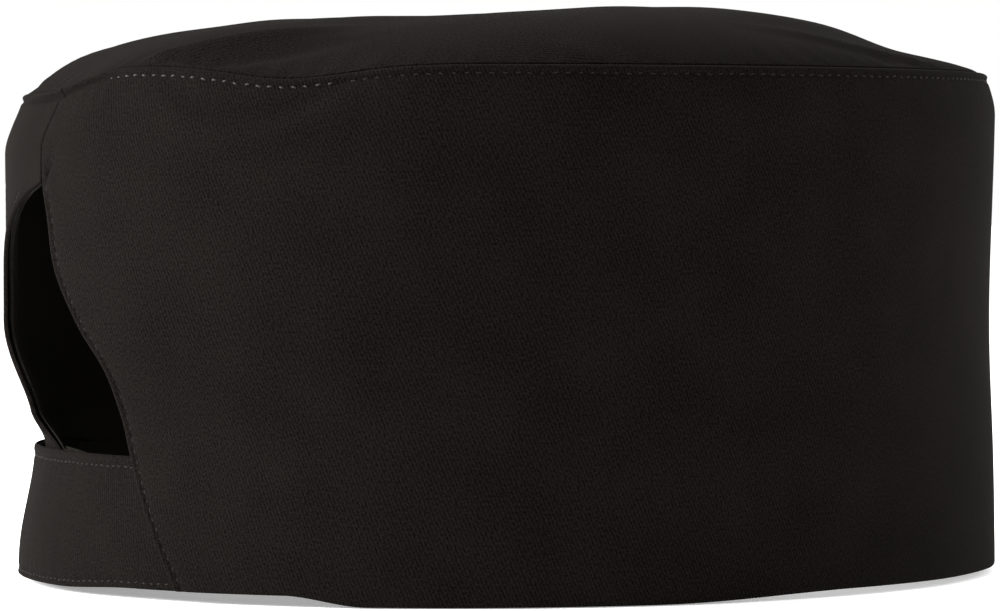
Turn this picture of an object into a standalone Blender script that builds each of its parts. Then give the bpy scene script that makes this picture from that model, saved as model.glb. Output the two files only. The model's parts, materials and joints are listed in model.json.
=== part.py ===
"""Low cook's cap: an oval pillbox of black twill with a half-moon gap and a hook-and-loop strap at the back.

Metres, +Z up.  The cap stands on its hem at Z = 0 with its centre on the Z axis.  The front is at -Y, the
back at +Y and the wearer's right side at -X.  Places on the upright wall are given as (arc, height, depth):
arc is the distance round the cap from the centre back, growing towards the wearer's right, and depth is
measured inwards from the outer face of the cloth.
"""
from math import cos, exp, pi, radians, sin

import bmesh
import bpy
import numpy as np
from mathutils import Matrix, Vector

# The oval plan and the heights.
HALF_LENGTH = 0.1005
HALF_WIDTH = 0.0865
BAND_HEIGHT = 0.0985
CROWN_RISE = 0.0135
CROWN_FULLNESS = 2.6
CROWN_SETTLE = 0.0023

# Cloth thicknesses, and the gap kept between two layers.
GAP = 0.0003
TWILL = 0.0006
INTERLINING = 0.0004
TAPE = 0.0005
HOOK_LOOP = 0.0007
STRAP_CLOTH = 0.0005
SWEATBAND = 0.0011

# The half-moon gap at the back: its point, and the tab of the left panel that runs below it.
APEX_HEIGHT = 0.0765
TAB_HEIGHT = 0.024
NEAR_HEM_ARC = 0.037
STRAP_PULL = 0.0034
EDGE_BULGE = 0.0021
EDGE_HOLLOW = 0.0026
TAB_SET_BACK = 0.0045
GAP_REACH = 0.031
GAP_LEAN = 0.003
SEAM_HALF_GAP = 0.0002
EDGE_INSET = 0.0004

# How the back of the wall is drawn in by the strap, and turned in at the crown seam.
BACK_SPREAD = radians(42)
HEM_DRAW = 0.0023
STRAP_DRAW = 0.0069
SHOULDER_DRAW = 0.006
RIM_TURN = 0.0022
BACK_SAG = 0.0044
BACK_SAG_ARC = -0.026
SIDE_SAG = 0.0026
SIDE_SAG_ARC = 0.060

# The closing strap.
STRAP_BOTTOM = 0.001
STRAP_TOP = 0.026
STRAP_TIP_ARC = -0.062
STRAP_CORNER = 0.006
STRAP_ROOT_GAP = 0.0012
STRAP_HINGE_SHIFT = 0.0008
STRAP_ROOT_LENGTH = 0.012
STRAP_ROOT_START = -0.0002
STRAP_CLEARANCE = 0.0001

# The labels inside the wearer's left side.
LABEL_ARC = -0.147
LABEL_TOP = 0.093
LABEL_STAND_OFF = 0.0012
LABEL_CLOTH = 0.0004
CARE_LABEL = (0.025, 0.038)
SIZE_LABEL = (0.013, 0.016)

# Depth of each layer's outer face.
INTERLINING_DEPTH = TWILL + GAP
LINING_DEPTH = INTERLINING_DEPTH + INTERLINING + GAP
WALL_DEPTH = LINING_DEPTH + TWILL
CROWN_DEPTH = WALL_DEPTH + GAP
SWEATBAND_DEPTH = WALL_DEPTH + 3 * GAP
CROWN_TAPE_DEPTH = CROWN_DEPTH + TWILL + GAP
STRAP_DEPTH = TWILL + GAP
STRAP_BACKING_DEPTH = STRAP_DEPTH + STRAP_CLOTH + GAP
HOOK_DEPTH = STRAP_BACKING_DEPTH + STRAP_CLOTH + GAP
LOOP_DEPTH = HOOK_DEPTH + HOOK_LOOP + GAP
TAB_DIP = LOOP_DEPTH + HOOK_LOOP + 2 * GAP
ROOT_DIP = 2 * STRAP_CLOTH + 2 * GAP + 2 * STRAP_CLEARANCE

# The layers share their grid lines, so that their flat facets stay parallel.
WALL_COLUMNS = 48
BACK_CROWDING = 0.5
STRAP_LEVELS = (STRAP_BOTTOM, 0.0065, 0.013, 0.0195, STRAP_TOP)
WALL_LEVELS = (0, *STRAP_LEVELS[1:], 0.036, 0.047, 0.059, 0.070, APEX_HEIGHT, 0.088, 0.095, BAND_HEIGHT)
TAPE_LEVELS = (0.0035, *STRAP_LEVELS[1:-1], 0.0235)

# Arc length round the oval against the angle from the centre back.
ANGLES = np.linspace(-pi, pi, 2881)
SPEEDS = np.hypot(HALF_WIDTH * np.cos(ANGLES), HALF_LENGTH * np.sin(ANGLES))
ARCS = np.concatenate(([0.0], np.cumsum((SPEEDS[1:] + SPEEDS[:-1]) / 2 * np.diff(ANGLES))))
GIRTH = float(ARCS[-1])
ARCS = ARCS - GIRTH / 2


def ease(value, low, high):
    """Rises smoothly from 0 at low to 1 at high."""
    u = min(1.0, max(0.0, (value - low) / (high - low)))
    return u * u * (3 - 2 * u)


def wrap(arc):
    """Brings an arc to between minus and plus half the girth."""
    return (arc + GIRTH / 2) % GIRTH - GIRTH / 2


def seam_height(arc):
    """Height of the crown seam, which sags behind and over the right shoulder."""
    arc = wrap(arc)
    sag = BACK_SAG * exp(-(((arc - BACK_SAG_ARC) / 0.036) ** 4))
    return BAND_HEIGHT - sag - SIDE_SAG * exp(-(((arc - SIDE_SAG_ARC) / 0.017) ** 2))


def draw_in(angle, height):
    """How far the wall stands inside the plain oval."""
    back = exp(-((angle / BACK_SPREAD) ** 2))
    low = HEM_DRAW + (STRAP_DRAW - HEM_DRAW) * ease(height, 0.005, STRAP_TOP)
    low *= 1 - ease(height, 0.026, 0.047)
    shoulder = SHOULDER_DRAW * ease(height, 0.083, 0.101)
    rim = RIM_TURN * ease(height, 0.090, BAND_HEIGHT + 0.002)
    return back * (low + shoulder) + (1 - back) * rim


def tab_dip(arc, height):
    """How far the left panel dips to pass behind the strap and its tapes."""
    return TAB_DIP * ease(arc, -0.080, -0.064) * (1 - ease(height, 0.024, 0.034)) * (arc < 0.012)


def root_dip(arc, height):
    """How far the inner layers of the right panel step in to make room for the strap's sewn root."""
    inside = arc - near_edge(height)
    fade = 1 - ease(inside, STRAP_ROOT_LENGTH + 0.001, STRAP_ROOT_LENGTH + 0.012)
    return ROOT_DIP * fade * (1 - ease(height, 0.027, 0.042)) * (arc > 0)


def near_edge(height):
    """Arc of the right panel's slanting edge, which curves a little; above the gap, of the seam."""
    curve = -STRAP_PULL * exp(-(((height - 0.024) / 0.013) ** 2))
    curve += EDGE_BULGE * exp(-(((height - 0.042) / 0.007) ** 2))
    curve -= EDGE_HOLLOW * exp(-(((height - 0.061) / 0.008) ** 2))
    return max(SEAM_HALF_GAP, NEAR_HEM_ARC * (1 - height / APEX_HEIGHT) + curve)


def far_edge(height):
    """Arc of the left panel's half-moon edge, and of the tab's end below it."""
    if height <= TAB_HEIGHT:
        return min(-SEAM_HALF_GAP, -TAB_SET_BACK * height / TAB_HEIGHT)
    u = min(1.0, (APEX_HEIGHT - height) / (APEX_HEIGHT - TAB_HEIGHT))
    if u <= 0:
        return -SEAM_HALF_GAP
    return -SEAM_HALF_GAP - TAB_SET_BACK * u - GAP_REACH * sin(pi * u) - GAP_LEAN * sin(2 * pi * u)


def oval_face(arc, height):
    """Outer face of the wall, before any panel dips behind the strap."""
    angle = float(np.interp(wrap(arc), ARCS, ANGLES))
    outward = Vector((-HALF_LENGTH * sin(angle), HALF_WIDTH * cos(angle), 0)).normalized()
    point = Vector((-HALF_WIDTH * sin(angle), HALF_LENGTH * cos(angle), height))
    return point - outward * draw_in(angle, height)


def wall_face(arc, height):
    """Outer face of the band, with the left panel's dip and the crown seam's sag."""
    arc = wrap(arc)
    angle = float(np.interp(arc, ARCS, ANGLES))
    outward = Vector((-HALF_LENGTH * sin(angle), HALF_WIDTH * cos(angle), 0)).normalized()
    sag = (BAND_HEIGHT - seam_height(arc)) * ease(height, APEX_HEIGHT, BAND_HEIGHT)
    return oval_face(arc, height) - outward * tab_dip(arc, height) - Vector((0, 0, sag))


def below(face, arc, height, depth):
    """Point at a depth square to a face."""
    step = 0.0002
    along = face(arc + step, height) - face(arc - step, height)
    up = face(arc, height + step) - face(arc, height - step)
    return face(arc, height) - along.cross(up).normalized() * depth


def oval_point(arc, height, depth):
    return below(oval_face, arc, height, depth)


def wall_point(arc, height, depth):
    """Point on a layer of the band."""
    step_in = root_dip(wrap(arc), height) if depth > TWILL else 0
    return below(wall_face, arc, height, depth + step_in)


def make_material(name, colour, roughness):
    material = bpy.data.materials.new(name)
    material.use_nodes = True
    shader = material.node_tree.nodes["Principled BSDF"]
    shader.inputs["Base Color"].default_value = (*colour, 1)
    shader.inputs["Roughness"].default_value = roughness
    shader.inputs["Metallic"].default_value = 0
    return material


def add_part(name, shape, material, parent=None, thickness=None):
    """Puts a shape made in world coordinates into the cap's collection, under its hinge if it moves."""
    if parent:
        bmesh.ops.translate(shape, verts=shape.verts, vec=-parent.location)
    mesh = bpy.data.meshes.new(name)
    shape.to_mesh(mesh)
    shape.free()
    part = bpy.data.objects.new(name, mesh)
    part.parent = parent
    mesh.materials.append(material)
    cap.objects.link(part)
    if thickness:
        solid = part.modifiers.new("thickness", "SOLIDIFY")
        solid.thickness = thickness
        solid.offset = -1
    return part


def add_hinge(name, point):
    """Empty on a joint's axis, for the pieces that turn about it."""
    hinge = bpy.data.objects.new(name, None)
    hinge.location = point
    cap.objects.link(hinge)
    return hinge


def crowd(u):
    """Moves grid columns closer together towards the centre back."""
    return u - BACK_CROWDING * sin(2 * pi * u) / (2 * pi)


def between(w, levels):
    """Height at w, from 0 to 1, up a list of levels."""
    return float(np.interp(w, np.linspace(0, 1, len(levels)), levels))


def surface(columns, rows, place, closed=False):
    """Flat grid moved onto a curved surface; place takes 0 to 1 along and 0 to 1 up."""
    shape = bmesh.new()
    bmesh.ops.create_grid(shape, x_segments=columns, y_segments=rows, size=0.5)
    for vertex in shape.verts:
        vertex.co = place(vertex.co.x + 0.5, vertex.co.y + 0.5)
    if closed:
        bmesh.ops.remove_doubles(shape, verts=shape.verts, dist=1e-6)
    bmesh.ops.triangulate(shape, faces=shape.faces, quad_method="FIXED")
    return shape


def make_wall_layer(name, depth, thickness, material, levels, inset=0.0):
    """One layer of the band: a strip from the right panel's slanting edge, round the front, to the left's."""

    def place(u, w):
        height = between(w, levels)
        start = near_edge(height)
        end = GIRTH + far_edge(height)
        arc = min(end - inset, max(start + inset, start + (end - start) * crowd(u)))
        return wall_point(arc, max(height, inset), depth)

    shape = surface(WALL_COLUMNS, len(levels) - 1, place)
    return add_part(name, shape, material, thickness=thickness)


def make_patch(name, arcs, levels, depth, thickness, material, columns=12, parent=None):
    """Rectangular piece of cloth or tape that follows the wall."""

    def place(u, w):
        arc = arcs[0] + (arcs[1] - arcs[0]) * u
        return oval_point(arc, between(w, levels), depth)

    return add_part(name, surface(columns, len(levels) - 1, place), material, parent, thickness)


def crown_settle(x, y):
    """How far the crown sinks over the back right quarter."""
    forward = -0.5 * x - 0.866 * y
    return CROWN_SETTLE * ease(forward, -0.095, -0.060) * (1 - ease(forward, -0.012, 0.028))


def make_crown():
    """Pillowed top panel whose edge turns down inside the band as the seam allowance."""
    reaches = (1, 1, 0.985, 0.94, 0.87, 0.77, 0.63, 0.46, 0.25, 0)
    drops = (-0.0075, -0.001) + (0,) * 8

    def place(u, w):
        row = round(w * (len(reaches) - 1))
        reach, drop = reaches[row], drops[row]
        arc = GIRTH * crowd(u)
        rim = oval_point(arc, BAND_HEIGHT, CROWN_DEPTH)
        seam = seam_height(arc)
        x, y = rim.x * reach, rim.y * reach
        dome = CROWN_RISE * (1 - reach**CROWN_FULLNESS) - crown_settle(x, y) * (1 - reach**6)
        base = BAND_HEIGHT - (BAND_HEIGHT - seam) * reach**4
        return Vector((x, y, base + dome + drop))

    shape = surface(WALL_COLUMNS, len(reaches) - 1, place, closed=True)
    material = make_material("crown_twill", (0.0185, 0.016, 0.0145), 0.9)
    add_part("crown_panel", shape, material, thickness=TWILL)


def make_crown_tape():
    """Binding that covers the raw edges of the crown seam on the inside."""

    def place(u, w):
        arc = GIRTH * crowd(u)
        rim = oval_point(arc, BAND_HEIGHT, CROWN_TAPE_DEPTH)
        return Vector((rim.x, rim.y, seam_height(arc) - 0.010 + 0.0085 * w))

    shape = surface(WALL_COLUMNS, 1, place, closed=True)
    material = make_material("cotton_tape", (0.03, 0.028, 0.026), 0.85)
    add_part("crown_seam_tape", shape, material, thickness=TAPE)


def make_strap_layer(name, depth, material, hinge, inset=0.0):
    """One cloth of the strap, from beside the right panel's edge to its rounded tip."""

    def place(u, w):
        height = min(STRAP_TOP - inset, max(STRAP_BOTTOM + inset, between(w, STRAP_LEVELS)))
        root = near_edge(height) - STRAP_ROOT_GAP
        corner = max(0.0, STRAP_CORNER - min(height - STRAP_BOTTOM, STRAP_TOP - height))
        tip = STRAP_TIP_ARC + inset + STRAP_CORNER - (STRAP_CORNER**2 - corner**2) ** 0.5
        return oval_point(tip + (root - tip) * u, height, depth)

    return add_part(name, surface(16, len(STRAP_LEVELS) - 1, place), material, hinge, STRAP_CLOTH)


def make_strap():
    """Strap of two cloths with the hook tape on its inner face, hinged beside the right panel's edge."""
    lower = oval_point(near_edge(STRAP_BOTTOM) - STRAP_ROOT_GAP, STRAP_BOTTOM, STRAP_DEPTH)
    # the root is slightly curved, so its hinge line is shifted to pass through the curve's middle
    hinge = add_hinge("strap_hinge", lower + Vector((0, STRAP_HINGE_SHIFT, 0)))
    twill = make_material("strap_twill", (0.02, 0.0175, 0.016), 0.9)
    make_strap_layer("strap_outer", STRAP_DEPTH, twill, hinge)
    lining = make_material("strap_lining_twill", (0.019, 0.017, 0.0155), 0.9)
    make_strap_layer("strap_backing", STRAP_BACKING_DEPTH, lining, hinge, 0.0006)
    hook = make_material("hook_tape_nylon", (0.012, 0.012, 0.013), 0.55)
    make_patch("hook_tape", (-0.057, -0.022), TAPE_LEVELS, HOOK_DEPTH, HOOK_LOOP, hook, parent=hinge)


def make_strap_root():
    """The sewn end of the strap between the right panel's outer cloth and its interlining."""

    def place(u, w):
        height = between(w, STRAP_LEVELS)
        arc = near_edge(height) + STRAP_ROOT_START + STRAP_ROOT_LENGTH * u
        return oval_point(arc, height, STRAP_DEPTH + STRAP_CLEARANCE)

    material = make_material("strap_root_twill", (0.02, 0.0175, 0.016), 0.9)
    shape = surface(3, len(STRAP_LEVELS) - 1, place)
    add_part("strap_root", shape, material, thickness=2 * STRAP_CLOTH + GAP)


def make_labels():
    """Blank care and size labels, sewn together by their top edges to the crown seam's binding."""
    middle = oval_point(LABEL_ARC, BAND_HEIGHT, CROWN_TAPE_DEPTH + TAPE + LABEL_STAND_OFF)
    beside = oval_point(LABEL_ARC + 0.001, BAND_HEIGHT, CROWN_TAPE_DEPTH + TAPE + LABEL_STAND_OFF)
    along = Vector((beside.x - middle.x, beside.y - middle.y, 0)).normalized()
    inward = along.cross(Vector((0, 0, 1)))
    inward *= -1 if inward.dot(middle) > 0 else 1
    hinge = add_hinge("label_hinge", Vector((middle.x, middle.y, LABEL_TOP)))
    satin = make_material("label_satin", (0.75, 0.74, 0.71), 0.45)
    labels = (("care_label", 0, CARE_LABEL), ("size_label", LABEL_CLOTH + GAP, SIZE_LABEL))
    for name, forward, (width, length) in labels:
        shape = bmesh.new()
        bmesh.ops.create_cube(shape, size=1)
        size = Matrix.Diagonal((width, LABEL_CLOTH, length, 1))
        turn = Matrix((along, inward, along.cross(inward))).transposed().to_4x4()
        centre = hinge.location + inward * forward - Vector((0, 0, length / 2))
        bmesh.ops.transform(shape, matrix=Matrix.Translation(centre) @ turn @ size, verts=shape.verts)
        add_part(name, shape, satin, hinge)


def make_bar_tack():
    """Dense row of thread that closes the point of the gap, a little right of the centre back seam."""
    low = oval_point(0.0022, 0.0765, -GAP)
    high = oval_point(0.0042, 0.0820, -GAP)
    upright = (high - low).normalized()
    outward = Vector((0, 1, 0))
    across = upright.cross(outward).normalized()
    shape = bmesh.new()
    bmesh.ops.create_cube(shape, size=1)
    size = Matrix.Diagonal((0.0014, 0.0004, (high - low).length, 1))
    turn = Matrix((across, upright.cross(across) * -1, upright)).transposed().to_4x4()
    place = Matrix.Translation((low + high) / 2 + outward * 0.0003)
    bmesh.ops.transform(shape, matrix=place @ turn @ size, verts=shape.verts)
    bmesh.ops.recalc_face_normals(shape, faces=shape.faces)
    add_part("gap_bar_tack", shape, make_material("black_thread", (0.03, 0.027, 0.025), 0.6))


def main():
    twill = make_material("band_twill", (0.02, 0.0175, 0.016), 0.9)
    make_wall_layer("side_band", 0, TWILL, twill, WALL_LEVELS)
    canvas = make_material("woven_interlining", (0.05, 0.047, 0.044), 0.95)
    levels = WALL_LEVELS[:-1]
    make_wall_layer("band_interlining", INTERLINING_DEPTH, INTERLINING, canvas, levels, EDGE_INSET)
    lining = make_material("lining_twill", (0.024, 0.0205, 0.018), 0.9)
    make_wall_layer("band_lining", LINING_DEPTH, TWILL, lining, WALL_LEVELS, EDGE_INSET)
    make_crown()
    make_crown_tape()
    sweat = make_material("terry_cotton", (0.028, 0.025, 0.023), 1.0)
    arcs = (GIRTH / 2 - 0.125, GIRTH / 2 + 0.125)
    make_patch("sweatband", arcs, (0.002, 0.034), SWEATBAND_DEPTH, SWEATBAND, sweat, columns=24)
    make_strap_root()
    make_strap()
    loop = make_material("loop_tape_nylon", (0.016, 0.015, 0.015), 1.0)
    make_patch("loop_tape", (-0.059, -0.009), TAPE_LEVELS, LOOP_DEPTH, HOOK_LOOP, loop)
    make_labels()
    make_bar_tack()


for leftover in list(bpy.data.objects):
    bpy.data.objects.remove(leftover, do_unlink=True)
cap = bpy.data.collections.new("cooks_cap")
bpy.context.scene.collection.children.link(cap)
main()
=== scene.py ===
import json
from math import cos, pi, radians, sin

import bmesh
import bpy
import numpy as np
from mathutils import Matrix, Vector


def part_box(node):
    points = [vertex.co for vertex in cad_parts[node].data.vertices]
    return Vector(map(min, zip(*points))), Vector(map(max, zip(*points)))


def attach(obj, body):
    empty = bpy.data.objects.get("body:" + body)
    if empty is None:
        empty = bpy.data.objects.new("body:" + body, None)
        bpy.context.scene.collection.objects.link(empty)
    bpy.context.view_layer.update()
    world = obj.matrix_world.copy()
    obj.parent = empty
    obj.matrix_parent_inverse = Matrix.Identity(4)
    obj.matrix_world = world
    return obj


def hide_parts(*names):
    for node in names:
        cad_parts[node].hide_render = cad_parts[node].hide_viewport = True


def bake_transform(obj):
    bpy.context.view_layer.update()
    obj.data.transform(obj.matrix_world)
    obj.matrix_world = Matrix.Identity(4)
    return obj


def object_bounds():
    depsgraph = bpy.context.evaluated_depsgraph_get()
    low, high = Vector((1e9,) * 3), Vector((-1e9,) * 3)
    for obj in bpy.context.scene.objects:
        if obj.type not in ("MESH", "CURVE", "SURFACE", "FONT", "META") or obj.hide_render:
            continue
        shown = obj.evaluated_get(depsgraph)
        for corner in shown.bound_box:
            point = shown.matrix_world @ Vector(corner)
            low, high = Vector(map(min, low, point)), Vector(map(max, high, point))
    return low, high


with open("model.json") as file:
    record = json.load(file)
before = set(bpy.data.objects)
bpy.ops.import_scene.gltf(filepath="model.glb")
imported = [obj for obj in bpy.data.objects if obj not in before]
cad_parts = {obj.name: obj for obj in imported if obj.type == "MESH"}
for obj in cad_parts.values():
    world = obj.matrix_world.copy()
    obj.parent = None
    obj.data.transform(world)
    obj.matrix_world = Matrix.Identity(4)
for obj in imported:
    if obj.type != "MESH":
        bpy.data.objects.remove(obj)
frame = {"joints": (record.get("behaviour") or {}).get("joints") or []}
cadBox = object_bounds()

# Places on the upright wall are (arc, height, depth): arc runs round the cap from the centre back towards
# the wearer's right, depth goes inwards from the outer face of the cloth. Metres throughout.
bandLow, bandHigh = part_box("side_band")
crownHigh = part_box("crown_panel")[1]
strapLow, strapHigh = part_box("strap_outer")
jointOf = {joint["name"]: joint for joint in frame["joints"]}
mm = 0.001

wall = dict(
    halfLength=-bandLow.y,
    halfWidth=0.0865,
    height=bandHigh.z,
    backSpread=radians(42),   # how far round the back is drawn in
    hemDraw=2.3 * mm,
    strapDraw=6.9 * mm,
    shoulderDraw=4.9 * mm,
    rimTurn=2.2 * mm,
    backSag=4.4 * mm,         # the crown seam drops behind ...
    backSagArc=-26 * mm,
    sideSag=2.6 * mm,         # ... and over the right shoulder
    sideSagArc=60 * mm,
    hemLiftBack=1.9 * mm,
    hemLiftFront=1.2 * mm,
)
opening = dict(
    apex=76.5 * mm,           # point of the half-moon gap
    tab=24 * mm,              # top of the left panel's tab
    hemArc=37 * mm,           # where the slanting edge meets the hem
    pull=3.4 * mm,            # how far the strap pulls that edge out of its straight line
    setBack=4.5 * mm,
    reach=31 * mm,
    lean=3 * mm,
    foot=9 * mm,              # the half-moon is squarer at its foot
    halfSeam=0.08 * mm,
)
layers = dict(                # depth of each layer's outer face, then its thickness
    outer=(0, 0.6 * mm),
    stiffener=(0.9 * mm, 0.4 * mm),
    lining=(1.6 * mm, 0.6 * mm),
    crown=(2.5 * mm, 0.6 * mm),
    binding=(3.4 * mm, 0.5 * mm),
    towelling=(3.1 * mm, 1.1 * mm),
    strap=(0.9 * mm, 0.5 * mm),
    strapBacking=(1.7 * mm, 0.5 * mm),
    hook=(2.5 * mm, 0.7 * mm),
    loop=(3.5 * mm, 0.7 * mm),
)
tabDipDepth = 4.8 * mm        # the left panel passes behind the strap and its two tapes
tabRest = 2.6 * mm            # ... and rests this deep against the strap's top edge
rootDipDepth = 1.8 * mm       # the inner layers make room for the strap's sewn end
rootLength = 12 * mm
strapBottom, strapTop = strapLow.z, strapHigh.z
strapTip = -62 * mm

angles = np.linspace(-pi, pi, 2881)
speeds = np.hypot(wall["halfWidth"] * np.cos(angles), wall["halfLength"] * np.sin(angles))
arcs = np.concatenate(([0.0], np.cumsum((speeds[1:] + speeds[:-1]) / 2 * np.diff(angles))))
girth = float(arcs[-1])
arcs = arcs - girth / 2


def ease(value, low, high):
    u = np.clip((value - low) / (high - low), 0, 1)
    return u * u * (3 - 2 * u)


def hill(value, centre, width):
    return np.exp(-(((value - centre) / width) ** 2))


def wrap(arc):
    return (arc + girth / 2) % girth - girth / 2


def cloud(x, y, seed):
    # smooth random hills from -1 to 1, about one per unit
    lattice = np.random.default_rng(seed).uniform(-1, 1, (97, 97))
    column, row = np.floor(x).astype(int), np.floor(y).astype(int)
    u, v = x - column, y - row
    u, v = u * u * (3 - 2 * u), v * v * (3 - 2 * v)

    def corner(right, up):
        return lattice[(column + right) % 97, (row + up) % 97]

    low = corner(0, 0) * (1 - u) + corner(1, 0) * u
    high = corner(0, 1) * (1 - u) + corner(1, 1) * u
    return low * (1 - v) + high * v


def seamHeight(arc):
    arc = wrap(arc)
    sag = wall["backSag"] * np.exp(-(((arc - wall["backSagArc"]) / (36 * mm)) ** 4))
    return wall["height"] - sag - wall["sideSag"] * hill(arc, wall["sideSagArc"], 17 * mm)


def drawIn(angle, height):
    # how far the oval closes in: at the strap and the shoulder behind, and at the rim elsewhere
    back = np.exp(-((angle / wall["backSpread"]) ** 2))
    low = wall["hemDraw"] + (wall["strapDraw"] - wall["hemDraw"]) * ease(height, 5 * mm, 26 * mm)
    low = low * (1 - ease(height, 29 * mm, 50 * mm))
    shoulder = wall["shoulderDraw"] * ease(height, 83 * mm, 101 * mm)
    rim = wall["rimTurn"] * ease(height, 90 * mm, wall["height"] + 2 * mm)
    return back * (low + shoulder) + (1 - back) * rim


def nearEdge(height):
    # arc of the slanting edge, which wanders from its straight line
    straight = opening["hemArc"] * (1 - height / opening["apex"])
    curve = -opening["pull"] * hill(height, 24 * mm, 13 * mm) + 2.4 * mm * hill(height, 43 * mm, 7 * mm)
    return np.maximum(opening["halfSeam"], straight + curve - 2.6 * mm * hill(height, 61 * mm, 8 * mm))


def farEdge(height):
    # arc of the left panel's end: the tab's edge, then the half-moon above it
    tab = np.minimum(-opening["halfSeam"], -opening["setBack"] * height / opening["tab"])
    u = np.clip((opening["apex"] - height) / (opening["apex"] - opening["tab"]), 0, 1)
    moon = opening["setBack"] * u + opening["reach"] * np.sin(pi * u) ** 0.7
    moon = moon + opening["lean"] * np.clip(np.sin(2 * pi * u), 0, 1)
    moon = moon + opening["foot"] * hill(height, 28 * mm, 6.5 * mm)
    return np.where(height <= opening["tab"], tab, -opening["halfSeam"] - moon)


def tabDip(arc, height):
    # deepest behind the tapes, then against the strap's top edge, and forward again above it
    behindTapes = (tabDipDepth - tabRest) * (1 - ease(height, 22.8 * mm, 25.2 * mm))
    behindStrap = tabRest * (1 - ease(height, strapTop - 0.3 * mm, strapTop + 6.5 * mm))
    return (behindTapes + behindStrap) * ease(arc, -80 * mm, -64 * mm) * (arc < 12 * mm)


def rootDip(arc, height):
    fade = 1 - ease(arc - nearEdge(height), rootLength + 1 * mm, rootLength + 12 * mm)
    return rootDipDepth * fade * (1 - ease(height, 27 * mm, 42 * mm)) * (arc > 0)


def ovalFace(arc, height):
    angle = np.interp(wrap(arc), arcs, angles)
    outward = np.stack((-wall["halfLength"] * np.sin(angle), wall["halfWidth"] * np.cos(angle)), -1)
    outward = outward / np.linalg.norm(outward, axis=-1, keepdims=True) * drawIn(angle, height)[..., None]
    x = -wall["halfWidth"] * np.sin(angle) - outward[..., 0]
    y = wall["halfLength"] * np.cos(angle) - outward[..., 1]
    return np.stack((x, y, height + 0 * x), -1)


def wallFace(arc, height):
    place = ovalFace(arc, height)
    angle = np.interp(wrap(arc), arcs, angles)
    outward = np.stack((-wall["halfLength"] * np.sin(angle), wall["halfWidth"] * np.cos(angle),
                        0 * angle), -1)
    outward = outward / np.linalg.norm(outward, axis=-1, keepdims=True)
    place = place - outward * tabDip(wrap(arc), height)[..., None]
    place[..., 2] -= (wall["height"] - seamHeight(arc)) * ease(height, opening["apex"], wall["height"])
    # the hem doesn't touch the table all the way round
    lift = wall["hemLiftBack"] * ease(wrap(arc), -45 * mm, 32 * mm)
    lift = lift * (1 - ease(arc % girth, 60 * mm, 76 * mm) * (wrap(arc) > 0))
    lift = lift + wall["hemLiftFront"] * ease(arc, 130 * mm, 175 * mm) * (1 - ease(arc, 250 * mm, 290 * mm))
    place[..., 2] += lift * (1 - ease(height, 0, 40 * mm))
    return place


def squareTo(face, arc, height):
    step = 0.2 * mm
    along = face(arc + step, height) - face(arc - step, height)
    up = face(arc, height + step) - face(arc, height - step)
    normal = np.cross(along, up)
    return normal / np.linalg.norm(normal, axis=-1, keepdims=True)


def onFace(face, arc, height, depth):
    return face(arc, height) - squareTo(face, arc, height) * (depth + 0 * arc)[..., None]


# meshes
def clothFaces(grid, shift, ring):
    outer = np.stack((grid[:-1, :-1], grid[:-1, 1:], grid[1:, 1:], grid[1:, :-1]), -1).reshape(-1, 4)
    low, high, left, right = grid[0], grid[-1], grid[:, 0], grid[:, -1]
    rims = [(low[1:], low[:-1]), (high[:-1], high[1:])]
    if not ring:
        rims += [(left[:-1], left[1:]), (right[1:], right[:-1])]
    sides = [np.stack((a, b, b + shift, a + shift), -1) for a, b in rims]
    return np.concatenate([outer, outer[:, ::-1] + shift, *sides])


def makeCloth(name, front, back, flat, finish, ring=False, pole=False):
    # a closed sheet from two grids of points, with its flat layout in metres as the UV map
    rows, columns = front.shape[:2]
    grid = np.arange(rows * columns).reshape(rows, columns)
    if ring:
        grid = np.column_stack((grid, grid[:, 0]))
    faces = clothFaces(grid, rows * columns, ring)
    flatGrid = np.arange(rows * grid.shape[1]).reshape(rows, -1)
    flatFaces = clothFaces(flatGrid, flatGrid.size, ring)
    points = np.concatenate((front.reshape(-1, 3), back.reshape(-1, 3)))
    mesh = bpy.data.meshes.new(name)
    mesh.from_pydata(points.tolist(), [], faces.tolist())
    layout = mesh.uv_layers.new(name="cloth")
    both = np.tile(flat.reshape(-1, 2), (2, 1))
    layout.data.foreach_set("uv", both[flatFaces.ravel()].astype(np.float32).ravel())
    if pole:
        shape = bmesh.new()
        shape.from_mesh(mesh)
        bmesh.ops.remove_doubles(shape, verts=shape.verts, dist=1e-6)
        shape.to_mesh(mesh)
        shape.free()
    mesh.shade_smooth()
    mesh.materials.append(finish)
    piece = bpy.data.objects.new(name, mesh)
    bpy.context.scene.collection.objects.link(piece)
    return piece


def makePanel(name, surface, arc, height, layer, rounding, finish, shift=0):
    # a cloth between two depths of a surface, with rounded edges
    depth, thick = layer
    front = surface(arc, height, depth + rounding + shift)
    back = surface(arc, height, depth + thick - rounding + shift)
    return makeCloth(name, front, back, np.stack((arc, height), -1), finish)


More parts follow.
